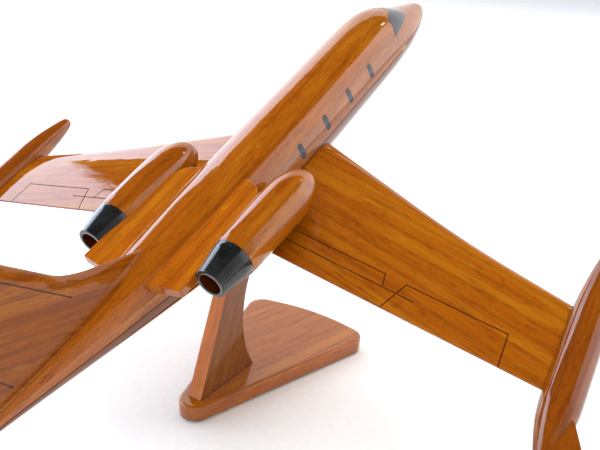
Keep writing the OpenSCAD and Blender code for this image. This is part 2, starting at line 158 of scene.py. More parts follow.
def box_cutter(p, q, normal, width, depth):
    """Corners and faces of a narrow box sunk `depth` below the line from p to q, standing clear above it."""
    p, q, normal = Vector(p), Vector(q), Vector(normal).normalized()
    along = (q - p).normalized()
    side = along.cross(normal).normalized() * (width / 2)
    up = side.cross(along).normalized()
    p = p - along * (width / 2)
    q = q + along * (width / 2)
    high = up * (depth + CUTTER_CLEARANCE)
    corners = [e + s * side - up * depth + high * t for e in (p, q) for s in (-1, 1) for t in (0, 1)]
    faces = [(0, 1, 3, 2), (4, 6, 7, 5), (0, 2, 6, 4), (1, 5, 7, 3), (0, 4, 5, 1), (2, 3, 7, 6)]
    return corners, faces


def carve(obj, cutter, operation, sharp=30.0):
    """Applies a boolean with another closed mesh and removes that mesh."""
    modifier = obj.modifiers.new("carve", "BOOLEAN")
    modifier.operation = operation
    modifier.solver = "EXACT"
    modifier.use_self = True
    modifier.object = cutter
    bpy.context.view_layer.update()
    cut = bpy.data.meshes.new_from_object(obj.evaluated_get(bpy.context.evaluated_depsgraph_get()))
    obj.modifiers.clear()
    obj.data = cut
    shade(cut, sharp)
    bpy.data.objects.remove(cutter)


def scribe(obj, cuts, place, sharp=30.0):
    """Cuts narrow grooves into obj; each cut is (from, to, surface normal, width, depth) in millimetres."""
    verts, faces = [], []
    for p, q, normal, width, depth in cuts:
        corners, quads = box_cutter(p, q, normal, width, depth)
        faces += [tuple(len(verts) + i for i in f) for f in quads]
        verts += corners
    carve(obj, new_object(obj.name + "_cutter", verts, faces, place), "DIFFERENCE", sharp)


def ease(obj, width):
    """Rounds the sharp edges of obj by `width` millimetres."""
    bevel = obj.modifiers.new("eased edges", "BEVEL")
    bevel.width = width * MM
    bevel.segments = 3
    bevel.limit_method = "ANGLE"
    bevel.angle_limit = math.radians(35)
    bevel.harden_normals = True
    bevel.use_clamp_overlap = True


def welded(node, name, sharp=35.0):
    """A copy of a CAD node's mesh with its vertices joined."""
    bm = bmesh.new()
    bm.from_mesh(nodes[node].data)
    bmesh.ops.remove_doubles(bm, verts=bm.verts, dist=1e-6)
    bmesh.ops.dissolve_limit(bm, angle_limit=math.radians(0.2), verts=bm.verts, edges=bm.edges)
    bmesh.ops.recalc_face_normals(bm, faces=bm.faces)
    mesh = bpy.data.meshes.new(name)
    bm.to_mesh(mesh)
    bm.free()
    shade(mesh, sharp)
    obj = bpy.data.objects.new(name, mesh)
    bpy.context.scene.collection.objects.link(obj)
    return obj


def finish_piece(obj, body, slot, material, *replaced):
    """Gives a finished piece its material and body, and hides the CAD nodes that it stands for; the slot is
    not used.
    """
    obj.data.materials.clear()
    obj.data.materials.append(material)
    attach(obj, body)
    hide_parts(*replaced)


# ---------------------------------------------------------------- materials
class Tree:
    """A material with one Principled shader and short calls for its nodes."""

    def __init__(self, name):
        self.material = bpy.data.materials.new(name)
        self.material.use_nodes = True
        self.tree = self.material.node_tree
        self.tree.nodes.clear()
        self.shader = self.tree.nodes.new("ShaderNodeBsdfPrincipled")
        out = self.tree.nodes.new("ShaderNodeOutputMaterial")
        self.tree.links.new(self.shader.outputs["BSDF"], out.inputs["Surface"])
        self.coords = self.tree.nodes.new("ShaderNodeTexCoord").outputs["Object"]

    def set(self, **values):
        for key, value in values.items():
            self.shader.inputs[key.replace("_", " ")].default_value = value

    def link(self, value, socket):
        if isinstance(value, bpy.types.NodeSocket):
            self.tree.links.new(value, socket)
        else:
            socket.default_value = value

    def to_shader(self, value, name):
        self.link(value, self.shader.inputs[name])

    def mapping(self, vector, location=(0, 0, 0), rotation=(0, 0, 0), scale=(1, 1, 1)):
        n = self.tree.nodes.new("ShaderNodeMapping")
        self.link(vector, n.inputs["Vector"])
        n.inputs["Location"].default_value = location
        n.inputs["Rotation"].default_value = rotation
        n.inputs["Scale"].default_value = scale
        return n.outputs["Vector"]

    def noise(self, vector, scale, detail=3.0, roughness=0.5, distortion=0.0):
        n = self.tree.nodes.new("ShaderNodeTexNoise")
        self.link(vector, n.inputs["Vector"])
        n.inputs["Scale"].default_value = scale
        n.inputs["Detail"].default_value = detail
        n.inputs["Roughness"].default_value = roughness
        n.inputs["Distortion"].default_value = distortion
        return n.outputs["Fac"]

    def wave(self, vector, scale, distortion, detail, detail_scale):
        n = self.tree.nodes.new("ShaderNodeTexWave")
        n.wave_type = "BANDS"
        n.bands_direction = "Y"
        n.wave_profile = "SIN"
        self.link(vector, n.inputs["Vector"])
        n.inputs["Scale"].default_value = scale
        n.inputs["Distortion"].default_value = distortion
        n.inputs["Detail"].default_value = detail
        n.inputs["Detail Scale"].default_value = detail_scale
        return n.outputs["Fac"]

    def ramp(self, factor, stops):
        n = self.tree.nodes.new("ShaderNodeValToRGB")
        self.link(factor, n.inputs["Fac"])
        while len(n.color_ramp.elements) < len(stops):
            n.color_ramp.elements.new(0.5)
        for element, (position, colour) in zip(n.color_ramp.elements, stops):
            element.position = position
            element.color = (*colour, 1)
        return n.outputs["Color"]

    def span(self, value, low, high, to_low=0.0, to_high=1.0):
        n = self.tree.nodes.new("ShaderNodeMapRange")
        n.interpolation_type = "SMOOTHSTEP"
        self.link(value, n.inputs["Value"])
        n.inputs["From Min"].default_value = low
        n.inputs["From Max"].default_value = high
        n.inputs["To Min"].default_value = to_low
        n.inputs["To Max"].default_value = to_high
        return n.outputs["Result"]

    def math(self, operation, a, b):
        n = self.tree.nodes.new("ShaderNodeMath")
        n.operation = operation
        self.link(a, n.inputs[0])
        self.link(b, n.inputs[1])
        return n.outputs[0]

    def mix(self, factor, a, b):
        n = self.tree.nodes.new("ShaderNodeMix")
        n.data_type = "RGBA"
        self.link(factor, n.inputs[0])
        self.link(a if isinstance(a, bpy.types.NodeSocket) else (*a, 1), n.inputs[6])
        self.link(b if isinstance(b, bpy.types.NodeSocket) else (*b, 1), n.inputs[7])
        return n.outputs[2]

    def bump(self, height, distance, strength):
        n = self.tree.nodes.new("ShaderNodeBump")
        n.inputs["Strength"].default_value = strength
        n.inputs["Distance"].default_value = distance
        self.link(height, n.inputs["Height"])
        return n.outputs["Normal"]

    def crevice(self, distance):
        """1 in the open and 0 deep in a joint or groove."""
        n = self.tree.nodes.new("ShaderNodeAmbientOcclusion")
        n.samples = 6
        n.inputs["Distance"].default_value = distance
        return n.outputs["AO"]


def grain_rotation(along, face, place):
    """Mapping rotation that turns the grain onto X and the face's normal onto Z."""
    turn = place.to_3x3()
    g = (turn @ Vector(along)).normalized()
    n = turn @ Vector(face)
    n = (n - g * n.dot(g)).normalized()
    c = n.cross(g)
    return Matrix((g, c, n)).to_euler("XYZ")


# varnished mahogany: streak, red, body and gold tones, then the pores and the painted shade of joints and
# grooves, which also stands for their dark glue lines
DEEP = (0.105, 0.022, 0.0012)
RED = (0.256, 0.052, 0.0015)
BODY = (0.322, 0.083, 0.0019)
GOLD = (0.400, 0.136, 0.0045)
PORE = (0.060, 0.012, 0.002)
CREVICE_SHADE = (0.030, 0.006, 0.002)


def wood(name, along, face, shift, tone, red=0.0, figure=1.0, place=AIR, varnish=1.0):
    """Clear-varnished wood with its grain along one direction of the piece's own frame.

    `tone` scales its brightness, `red` takes green away and `figure` strengthens the dark streaks.
    """
    t = Tree(name)

    def shade_of(c):
        return (c[0] * tone, c[1] * tone * (1 - red), c[2] * tone)

    base = t.mapping(t.coords, shift, grain_rotation(along, face, place))
    mottle = t.noise(t.mapping(base, scale=(0.34, 1, 1)), 190, 6, 0.68, 0.9)
    body = t.ramp(mottle, [(0.30, shade_of(RED)), (0.46, shade_of(BODY)), (0.58, shade_of(BODY)),
                           (0.74, shade_of(GOLD))])
    broad = t.noise(t.mapping(base, scale=(0.10, 1, 1)), 75, 4, 0.6, 1.1)
    body = t.mix(t.span(broad, 0.54, 0.34, 0.0, 0.36 * figure), body, shade_of(RED))
    body = t.mix(t.span(broad, 0.50, 0.66, 0.0, 0.60), body, shade_of(GOLD))
    bands = t.wave(t.mapping(base, scale=(0.06, 1, 1)), 48, 7.0, 3.0, 1.3)
    body = t.mix(t.math("MULTIPLY", t.span(bands, 0.70, 1.0), 0.24 * figure), body, shade_of(DEEP))
    fibre = t.noise(t.mapping(base, scale=(0.05, 1, 1)), 1150, 5, 0.65, 0.3)
    body = t.mix(t.span(fibre, 0.52, 0.34, 0.0, 0.30), body, shade_of(DEEP))
    body = t.mix(t.span(fibre, 0.54, 0.70, 0.0, 0.22), body, shade_of(GOLD))
    pores = t.noise(t.mapping(base, scale=(0.09, 1, 1)), 1900, 2, 0.5)
    pore = t.span(pores, 0.60, 0.70)
    body = t.mix(t.math("MULTIPLY", pore, 0.50), body, PORE)
    # painted shade: ambient occlusion darkens the wood in joints and grooves, also standing for their dark
    # glue lines
    open_air = t.crevice(1.8 * MM)
    body = t.mix(t.span(open_air, 0.66, 0.36), body, CREVICE_SHADE)
    t.to_shader(body, "Base Color")
    t.to_shader(t.span(fibre, 0.3, 0.7, 0.55, 0.42), "Roughness")
    grooves = t.math("SUBTRACT", fibre, t.math("MULTIPLY", pore, 0.6))
    t.to_shader(t.bump(grooves, 0.05 * MM, 0.35), "Normal")
    rubbed = t.noise(t.mapping(base, scale=(0.40, 1, 1)), 85, 3, 0.45, 0.4)
    t.to_shader(t.bump(rubbed, 0.30 * MM, 0.6), "Coat Normal")
    t.set(Specular_IOR_Level=0.0, Coat_Weight=varnish, Coat_Roughness=0.035, Coat_IOR=1.60)
    return t.material


def black_lacquer(name, tint, rough, shift, coat_ior):
    """Glossy black paint over turned or inlaid wood."""
    t = Tree(name)
    base = t.mapping(t.coords, shift)
    dust = t.noise(base, 900, 3, 0.6)
    cloud = t.noise(base, 120, 3, 0.55, 0.3)
    tone = t.mix(t.span(cloud, 0.35, 0.7), tint, tuple(c * 2.1 + 0.003 for c in tint))
    tone = t.mix(t.math("MULTIPLY", t.span(dust, 0.66, 0.74), 0.12), tone, (0.16, 0.16, 0.17))
    t.to_shader(tone, "Base Color")
    t.to_shader(t.span(cloud, 0.3, 0.7, rough, rough + 0.12), "Roughness")
    t.to_shader(t.bump(cloud, 0.05 * MM, 0.4), "Normal")
    t.to_shader(t.bump(t.noise(base, 150, 1, 0.4), 0.10 * MM, 0.4), "Coat Normal")
    t.set(Specular_IOR_Level=0.1, Coat_Weight=1.0, Coat_Roughness=0.04, Coat_IOR=coat_ior)
    return t.material


def felt_cloth():
    """Dark felt sheet."""
    t = Tree("felt")
    fuzz = t.noise(t.coords, 2600, 4, 0.7)
    clump = t.noise(t.coords, 260, 3, 0.6)
    tone = t.ramp(fuzz, [(0.3, (0.010, 0.010, 0.011)), (0.7, (0.042, 0.042, 0.045))])
    t.to_shader(t.mix(t.span(clump, 0.4, 0.7, 0, 0.4), tone, (0.06, 0.058, 0.056)), "Base Color")
    t.to_shader(t.span(fuzz, 0.3, 0.7, 0.86, 1.0), "Roughness")
    t.to_shader(t.bump(t.math("ADD", fuzz, clump), 0.25 * MM, 0.8), "Normal")
    t.set(Specular_IOR_Level=0.15, Sheen_Weight=0.25, Sheen_Roughness=0.5)
    return t.material


def steel(name, shift):
    """Plain drawn steel with faint lines."""
    t = Tree(name)
    base = t.mapping(t.coords, shift, scale=(1, 1, 0.06))
    lines = t.noise(base, 2500, 3, 0.6)
    stain = t.noise(t.coords, 220, 3, 0.6)
    tone = t.ramp(lines, [(0.3, (0.40, 0.40, 0.41)), (0.7, (0.66, 0.66, 0.68))])
    t.to_shader(t.mix(t.span(stain, 0.5, 0.75, 0, 0.35), tone, (0.28, 0.25, 0.22)), "Base Color")
    t.to_shader(t.span(lines, 0.3, 0.7, 0.22, 0.40), "Roughness")
    t.to_shader(t.bump(lines, 0.02 * MM, 0.4), "Normal")
    t.set(Metallic=1.0)
    return t.material


def bare_dowel():
    """Pale unvarnished hardwood."""
    t = Tree("dowel")
    base = t.mapping(t.coords, scale=(0.05, 1, 1))
    lines = t.noise(base, 1800, 4, 0.6)
    t.to_shader(t.ramp(lines, [(0.3, (0.42, 0.26, 0.13)), (0.7, (0.66, 0.48, 0.28))]), "Base Color")
    t.to_shader(t.span(lines, 0.3, 0.7, 0.55, 0.75), "Roughness")
    t.to_shader(t.bump(lines, 0.05 * MM, 0.5), "Normal")
    return t.material


# grain directions and the normals of the boards' faces
LEVEL, LONG, UPRIGHT = (0, 0, 1), (0, 1, 0), (1, 0, 0)
PORT_SPAN, STARBOARD_SPAN, POST_GRAIN = (1, 0.24, -0.10), (-1, 0.24, -0.10), (0, -0.35, 1)
# the lower block's wood is a much darker copy of the upper block's, painted shade for the fuselage's lower
# side
fuselage_top_wood = wood("fuselage_top_wood", LONG, LEVEL, (0.03, 0.11, 0.0), tone=1.05)
fuselage_low_shade_wood = wood("fuselage_low_shade_wood", LONG, LEVEL, (0.31, 0.52, 0.2), tone=0.48)
wing_wood = {
    "port": wood("wing_port_wood", PORT_SPAN, LEVEL, (0.7, 0.13, 0.1), tone=1.06),
    "starboard": wood("wing_starboard_wood", STARBOARD_SPAN, LEVEL, (0.2, 0.77, 0.4), tone=1.06),
}
tank_wood = {
    "port": wood("tank_port_wood", LONG, LEVEL, (0.9, 0.31, 0.6), tone=0.82, red=0.1),
    "starboard": wood("tank_starboard_wood", LONG, LEVEL, (0.5, 0.93, 0.5), tone=0.70, red=0.12),
}
nacelle_wood = {
    "port": wood("nacelle_port_wood", LONG, LEVEL, (0.15, 0.64, 0.7), tone=1.0),
    "starboard": wood("nacelle_starboard_wood", LONG, LEVEL, (0.85, 0.23, 0.8), tone=1.02),
}
pylon_wood = wood("pylon_wood", LONG, LEVEL, (0.4, 0.41, 0.9), tone=1.25)
tail_wood = wood("tail_wood", (0, 1, 0.62), UPRIGHT, (0.6, 0.84, 0.3), tone=0.82, figure=1.4, varnish=0.55)
# the post's two woods are one wood in two tones: a darker, painted-shade copy for most faces and a much
# paler, painted-light copy for the faces turned aft
post_wood = wood("post_wood", POST_GRAIN, UPRIGHT, (0.25, 0.35, 0.55), tone=0.60, place=ROW, varnish=0.7)
post_aft_lit_wood = wood("post_aft_lit_wood", POST_GRAIN, UPRIGHT, (0.65, 0.15, 0.25), tone=1.75, place=ROW,
                      varnish=0.8)
board_wood = wood("board_wood", (0.25, 1, 0), LEVEL, (0.75, 0.45, 0.65), tone=1.12, place=ROW)
nozzle_black = {side: black_lacquer("nozzle_black_" + side, (0.006, 0.0065, 0.0065), 0.22, (0, i, 0), 1.5)
                for i, side in enumerate(("port", "starboard"))}
window_black = black_lacquer("window_black", (0.008, 0.013, 0.024), 0.16, (2, 2, 2), 1.38)
# the nozzles' bores get the wood much darker and redder, painted shade inside the recess
bore_shade_wood = wood("bore_shade_wood", LONG, LEVEL, (0.1, 0.2, 0.3), tone=0.22, red=0.35)
felt_material = felt_cloth()
pin_steel = steel("pin_steel", (0, 0, 0))
screw_steel = steel("screw_steel", (1, 0, 0))
dowel_material = bare_dowel()


# ---------------------------------------------------------------- fuselage
# stations: distance aft, half width, top, waist and bottom heights
STATIONS = np.array([
    [-6, 1.6, -7.8, -9.2, -10.8], [-4.8, 3.4, -6.2, -9.0, -12.0], [-2, 5.4, -4.2, -8.6, -13.2],
    [4, 8.1, -1.8, -7.8, -14.4], [11, 10.4, 0.9, -6.9, -15.3], [19, 12.8, 4.2, -5.9, -16.0],
    [27, 14.7, 7.6, -4.9, -16.5], [35, 16.3, 11.6, -4.0, -16.8], [43, 17.5, 15.2, -3.2, -17.0],
    [51, 18.3, 18.0, -2.5, -17.1], [60, 18.9, 20.0, -2.1, -17.1], [70, 19.1, 21.0, -1.9, -17.1],
    [82, 19.2, 21.3, -1.7, -17.1], [150, 19.2, 21.3, -0.6, -17.1], [206, 19.2, 21.3, 0.4, -17.1],
    [220, 18.9, 21.3, 1.2, -16.6], [234, 17.9, 21.2, 2.4, -14.6], [248, 16.3, 21.1, 3.8, -11.4],
    [262, 14.6, 21.0, 5.4, -7.9], [276, 12.8, 20.9, 7.1, -4.3], [290, 11.0, 20.8, 8.9, -0.6],
    [304, 9.2, 20.7, 10.8, 3.2], [318, 7.3, 20.6, 12.8, 6.8], [331, 5.5, 20.4, 14.6, 10.0],
    [343, 4.0, 20.2, 16.2, 12.9], [354, 2.7, 20.0, 17.5, 15.3], [361, 1.6, 19.7, 18.3, 16.9],
    [364, 0.7, 19.2, 18.6, 18.0]])
SECTION_POWER = 2.15
SEAM = 0.22
SEAM_DEPTH = 0.30


def station(s):
    """Half width and top, waist and bottom heights at distance s."""
    return [float(monotone(STATIONS[:, 0], STATIONS[:, k], s)) for k in range(1, 5)]


def section_ring(s, upper, count=56, proud=0.0):
    """Upper or lower half section at distance s, with a fine V cut along the waist."""
    half, top, waist, bottom = station(s)
    half, top, bottom = half + proud, top + proud, bottom - proud
    rise = (top - waist) if upper else (bottom - waist)
    seam = min(SEAM, abs(rise) * 0.2)
    depth = min(SEAM_DEPTH, half * 0.3)
    e = 2 / SECTION_POWER
    a0 = math.asin(min(1.0, (seam / abs(rise)) ** (1 / e)))
    pts = [(-(half - depth), s, waist)]
    for i in range(count + 1):
        a = math.pi - a0 - (math.pi - 2 * a0) * i / count
        x = half * math.copysign(abs(math.cos(a)) ** e, math.cos(a))
        pts.append((x, s, waist + rise * math.sin(a) ** e))
    pts.append((half - depth, s, waist))
    return pts


def fuselage():
    """Two blocks that meet at the waist line."""
    nose = [-6 + 12 * (i / 16) ** 1.6 for i in range(16)]
    run = list(np.arange(6, 356, 2.5)) + [356, 358.5, 361, 363, 364]
    halves = ((True, "fuselage_upper", fuselage_top_wood), (False, "fuselage_lower", fuselage_low_shade_wood))
    for upper, node, material in halves:
        body = loft(node + "_shell", [section_ring(s, upper) for s in nose + run], AIR)
        finish_piece(body, "aircraft", node + "_wood", material, node)


# ---------------------------------------------------------------- wings
ROOT_X, TIP_X, TIP_END, KINK_X, KINK_BLEND, INNER_X = 16.9, 153.0, 156.2, 104.0, 24.0, 10.0
LE_ROOT, LE_TIP, LE_KINK_BACK = 145.2, 193.7, 3.75
TE_ROOT, TE_TIP = 220.0, 234.7
Z_ROOT, Z_TIP = -4.6, -18.6
T_ROOT, T_TIP = 7.4, 4.6
WING_TE_R, WING_EDGE = 0.45, 0.5
LINE_W, LINE_D = 0.5, 0.45
# scribed lines of the flap, spoiler and aileron: span and distance aft of both ends
WING_LINES = [
    ((22, 211.4), (98, 220.2)), ((22, 205.2), (82, 212.2)), ((82, 212.2), (83.6, 218.6)),
    ((92.2, 213.8), (136.2, 218.7)), ((92.2, 213.8), (86.2, 229)), ((136.2, 218.7), (137.2, 234.6)),
]


def span_share(x):
    """0 at the wing's root and 1 at its tip."""
    return (x - ROOT_X) / (TIP_X - ROOT_X)


def leading(x):
    """Straight to the kink and straight beyond it, blended between."""
    inner = LE_KINK_BACK / (KINK_X - ROOT_X)
    outer = -LE_KINK_BACK / (TIP_X - KINK_X)
    d = x - KINK_X
    back = LE_KINK_BACK + (outer if d > KINK_BLEND else inner) * d
    if abs(d) <= KINK_BLEND:
        back += (outer - inner) * (d + KINK_BLEND) ** 2 / (4 * KINK_BLEND)
    return LE_ROOT + span_share(x) * (LE_TIP - LE_ROOT) + back


def trailing(x):
    """Straight trailing edge."""
    return TE_ROOT + span_share(x) * (TE_TIP - TE_ROOT)


def foil(u):
    """Half thickness of the symmetrical section at share u of the chord, for a thickness of 2."""
    return 10 * (0.2969 * math.sqrt(u) - 0.1260 * u - 0.3516 * u ** 2 + 0.2843 * u ** 3 - 0.1036 * u ** 4)


def foil_half(u, thick, edge):
    """Half thickness of a blade whose trailing edge is 2 * edge thick."""
    return thick / 2 * foil(u) * (1 - 0.1 * u) + edge * u


def wing_point(x, u, side):
    """Point of the port wing at span x and share u of the chord, side 1 above and -1 below."""
    thick = T_ROOT + span_share(x) * (T_TIP - T_ROOT)
    z = Z_ROOT + span_share(x) * (Z_TIP - Z_ROOT)
    return (x, leading(x) + u * (trailing(x) - leading(x)), z + side * foil_half(u, thick, WING_EDGE))


def foil_ring(top, low, te_radius, count=44):
    """Closed section from the top trailing edge round the nose to the lower one, trailing edge rounded."""
    us = [0.5 - 0.5 * math.cos(math.pi * i / count) for i in range(count + 1)]
    ring = [top(u) for u in reversed(us)] + [low(u) for u in us[1:]]
    a, b = Vector(ring[0]), Vector(ring[-1])
    for i, p in ((0, a), (-1, b)):
        ring[i] = tuple(p + Vector((0, -te_radius, 0)))
    mid = (a + b) / 2
    half = (a - b) / 2
    closing = []
    for k in (-0.85, -0.5, 0, 0.5, 0.85):
        closing.append(tuple(mid + half * k + Vector((0, -te_radius * (1 - math.sqrt(1 - k * k)), 0))))
    return ring + closing


def wings():
    """Drooping wings with their lines scribed into the top."""
    xs = np.linspace(INNER_X, TIP_END, 60)
    for side, mirror in (("port", False), ("starboard", True)):
        rings = [foil_ring(lambda u: wing_point(x, u, 1), lambda u: wing_point(x, u, -1), WING_TE_R)
                 for x in xs]
        wing = loft("wing_%s_panel" % side, rings, AIR, mirror)
        cuts = []
        for a, b in WING_LINES:
            ends = [wing_point(x, (s - leading(x)) / (trailing(x) - leading(x)), 1) for x, s in (a, b)]
            upward = (0.1, 0.03, 1)
            if mirror:
                ends = [(-x, y, z) for x, y, z in ends]
                upward = (-0.1, 0.03, 1)
            cuts.append((ends[0], ends[1], upward, LINE_W, LINE_D))
        scribe(wing, cuts, AIR)
        finish_piece(wing, "aircraft", "wing_wood", wing_wood[side], "wing_" + side)


# ---------------------------------------------------------------- tip tanks
TANK_X, TANK_S0, TANK_LEN, TANK_Z, TANK_PITCH = 161.2, 163.6, 101.0, -18.2, 3.5
# radius and distance from the tip of the nose
TANK = [
    (0, 0), (1.6, 0.4), (2.8, 1.6), (4.1, 6), (6.0, 18), (7.1, 29), (7.4, 36),
    (7.4, 73), (6.9, 80), (5.6, 87), (3.6, 94), (1.7, 99), (0, 101),
]


def tank_place():
    """Turns the tank nose down about its middle and sets it at the wing's tip."""
    return (Matrix.Translation((TANK_X, TANK_S0 + TANK_LEN / 2, TANK_Z))
            @ Matrix.Rotation(math.radians(-TANK_PITCH), 4, "X")
            @ Matrix.Translation((0, -TANK_LEN / 2, 0)))


def tanks():
    """Turned tanks; their small fins keep the CAD shape with eased edges."""
    profile = [(max(0.0, r), y) for r, y in smooth_path(TANK, 6)]
    for side, mirror in (("port", False), ("starboard", True)):
        tank = lathe("tip_tank_%s_body" % side, profile, AIR, tank_place(), mirror=mirror, sharp=50)
        finish_piece(tank, "aircraft", "tank_wood", tank_wood[side], "tip_tank_" + side)
        fin = welded("tank_fin_" + side, "tank_fin_%s_blade" % side)
        ease(fin, width=0.3)
        finish_piece(fin, "aircraft", "tank_wood", tank_wood[side], "tank_fin_" + side)


# ---------------------------------------------------------------- pylons, nacelles, nozzles
NAC_X, NAC_PIVOT, NAC_Z, NAC_TILT, NAC_TOE = 32.6, 245.0, 13.0, 2.3, 1.15
NAC_NOSE, NAC_WIDE, NAC_R, NAC_AFT = 186.6, 208.0, 10.6, 243.8
NOZ_FRONT_R, NOZ_AFT, NOZ_AFT_R, NOZ_BORE_R = 9.5, 259.6, 6.7, 4.9
PYLON_Z0, PYLON_Z1 = 13.0, 17.1
SPIGOT_LEN, BORE_SKIN, LIP_DEPTH = 3.5, 0.01, 0.3
# outline seen from above: distance to port and distance aft
PYLON = [
    (4, 204), (13.4, 204.2), (18.1, 205.6), (20.8, 207.4), (23, 210),
    (26, 217), (26.4, 268.2), (25.9, 268.9), (4, 272.8),
]


def nacelle_place():
    """Tilts and toes the nacelle about its pivot and sets it beside the fuselage."""
    return (Matrix.Translation((NAC_X, NAC_PIVOT, NAC_Z))
            @ Euler((math.radians(NAC_TILT), 0, math.radians(NAC_TOE)), "XYZ").to_matrix().to_4x4()
            @ Matrix.Translation((0, -NAC_PIVOT, 0)))


def nacelles():
    """Turned nacelles and nozzles, and the pylons that carry them."""
    nose = [(NAC_R * math.sin(math.radians(a)), NAC_WIDE - (NAC_WIDE - NAC_NOSE) * math.cos(math.radians(a)))
            for a in np.linspace(0, 90, 26)]
    run = [(NAC_R, 212), (NAC_R, 216), (NAC_R - 0.1, 221), (NAC_R - 0.4, 230), (NAC_R - 0.72, 237),
           (NOZ_FRONT_R + 0.03, NAC_AFT - 0.5), (NOZ_FRONT_R - 0.15, NAC_AFT - 0.1),
           (NOZ_FRONT_R - 0.5, NAC_AFT), (0, NAC_AFT)]
    lip = arc(NOZ_AFT_R - 0.35, NOZ_AFT - 0.5, 0.5, 0, 90, 4)
    shoulder = [(5.8, NAC_AFT + 0.05), (NOZ_FRONT_R - 0.4, NAC_AFT + 0.05),
                (NOZ_FRONT_R - 0.12, NAC_AFT + 0.15), (NOZ_FRONT_R - 0.02, NAC_AFT + 0.5)]
    taper, reach = NOZ_AFT_R + 0.15 - NOZ_FRONT_R, NOZ_AFT - 1.0 - NAC_AFT
    skirt = [(NOZ_FRONT_R + taper * k, NAC_AFT + 0.5 + reach * k) for k in (0.25, 0.5, 0.75, 0.95)]
    bore = [(NOZ_BORE_R + 0.3, NOZ_AFT), (NOZ_BORE_R + 0.08, NOZ_AFT - 0.1), (NOZ_BORE_R, NOZ_AFT - 0.4),
            (NOZ_BORE_R, NAC_AFT + SPIGOT_LEN), (0, NAC_AFT + SPIGOT_LEN)]
    cone = shoulder + skirt + lip + bore
    for side, mirror in (("port", False), ("starboard", True)):
        nacelle = lathe("nacelle_%s_body" % side, nose + run, AIR, nacelle_place(), 112, mirror)
        finish_piece(nacelle, "aircraft", "nacelle_wood", nacelle_wood[side], "nacelle_" + side)
        nozzle = lathe("nozzle_%s_cone" % side, cone, AIR, nacelle_place(), 112, mirror)
        finish_piece(nozzle, "aircraft", "nozzle_black", nozzle_black[side], "nozzle_" + side)
        paint_bore(nozzle, mirror)
        plate = [(x, y, z) for z in (PYLON_Z0, PYLON_Z1) for x, y in PYLON]
        pylon = new_object("pylon_%s_plate" % side, plate, ring_faces(2, len(PYLON)), AIR, mirror)
        ease(pylon, width=0.5)
        finish_piece(pylon, "aircraft", "pylon_wood", pylon_wood, "pylon_" + side)


def paint_bore(nozzle, mirror):
    """The bore of a nozzle shows wood darkened as painted shade inside the black lip."""
    nozzle.data.materials.append(bore_shade_wood)
    flip = Matrix.Diagonal((-1 if mirror else 1, 1, 1, 1))
    to_axis = nacelle_place().inverted() @ flip @ Matrix.Scale(1 / MM, 4) @ AIR.inverted()
    for face in nozzle.data.polygons:
        c = to_axis @ face.center
        if math.hypot(c.x, c.z) < NOZ_BORE_R + BORE_SKIN and c.y < NOZ_AFT - LIP_DEPTH:
            face.material_index = 1


# ---------------------------------------------------------------- fin and tailplane
FIN_LE0, FIN_KINK_S, FIN_KINK_Z, FIN_SLOPE = 258.7, 292.3, 38.4, 0.687
FIN_TE0, FIN_TE_SLOPE, FIN_FOOT_Z, FIN_LINE_Z, FIN_TOP, FIN_T = 354.0, 0.25, 18.4, 21.0, 76.0, 5.0
FIN_BEND, FILLET_R, FILLET_Z = 6.0, 3.0, 20.4
# shares of the chord where the fin's nose ends and its taper starts, and what each taper takes away
FIN_NOSE, FIN_FLAT, FIN_AFT_LOSS, FIN_TOP_LOSS = 0.28, 0.6, 0.62, 0.35
# scribed lines on the fin's sides: height and distance aft of the lower end, height of the top end, slope
STRIP_LINE = (32.1, 295.2, FIN_TOP - 4, 0.66)
RUDDER_LINE = (22.4, 329.0, FIN_TOP - 0.5, 0.34)
SCRIBE_STEPS = 10
TAIL_HALF, TAIL_BACK, TAIL_LIFT, TAIL_LE_SLOPE, TAIL_TE_SLOPE = 50.0, 2, 2.1, 0.62, 0.14
TAIL_T, TAIL_TIP_LOSS, TAIL_EDGE, TAIL_TE_R = 4.2, 1.6, 0.35, 0.3


def fin_front(z):
    """Leading edge: the dorsal fillet's slope blends into the fin's over FIN_BEND each side of the kink."""
    low = (FIN_KINK_S - FIN_LE0) / (FIN_KINK_Z - FIN_LINE_Z)
    d = z - FIN_KINK_Z
    if d < -FIN_BEND:
        return FIN_LE0 + low * max(0, z - FIN_LINE_Z)
    if d > FIN_BEND:
        return FIN_KINK_S + d * FIN_SLOPE
    return FIN_KINK_S + low * d + (FIN_SLOPE - low) * (d + FIN_BEND) ** 2 / (4 * FIN_BEND)


def fin_back(z):
    """Trailing edge at height z."""
    return FIN_TE0 + max(0, z - FIN_LINE_Z) * FIN_TE_SLOPE


def fin_half(z, u):
    """Half thickness: a round nose, a flat middle and a taper to the trailing edge."""
    t = FIN_T / 2 * (1 - FIN_TOP_LOSS * (z - FIN_LINE_Z) / (FIN_TOP - FIN_LINE_Z))
    taper = 1 - FIN_AFT_LOSS * (u - FIN_FLAT) / 0.4 if u > FIN_FLAT else 1
    return t * math.sin(math.pi / 2 * min(1, u / FIN_NOSE)) ** 0.7 * taper + 0.02


def fin_ring(z, count=40):
    """Section at height z, flared into the fuselage below FILLET_Z + FILLET_R."""
    zs = max(z, FIN_LINE_Z)
    us = [(i / count) ** 1.7 for i in range(count + 1)]
    front, back = fin_front(zs), fin_back(zs)
    rise = min(max(z - FILLET_Z, 0.0), FILLET_R)
    flare = FILLET_R - math.sqrt(FILLET_R ** 2 - (FILLET_R - rise) ** 2)
    port = [(fin_half(zs, u) + flare * min(1, 4 * u) * (1 - 0.7 * u), front + u * (back - front), z)
            for u in us]
    port[-1] = (port[-1][0] * 0.75, port[-1][1], z)
    return port + [(-x, y, z) for x, y, z in reversed(port)]


def fin_point(z, s, side):
    """Point on one side of the fin."""
    u = (s - fin_front(z)) / (fin_back(z) - fin_front(z))
    return (side * fin_half(z, u), s, z)


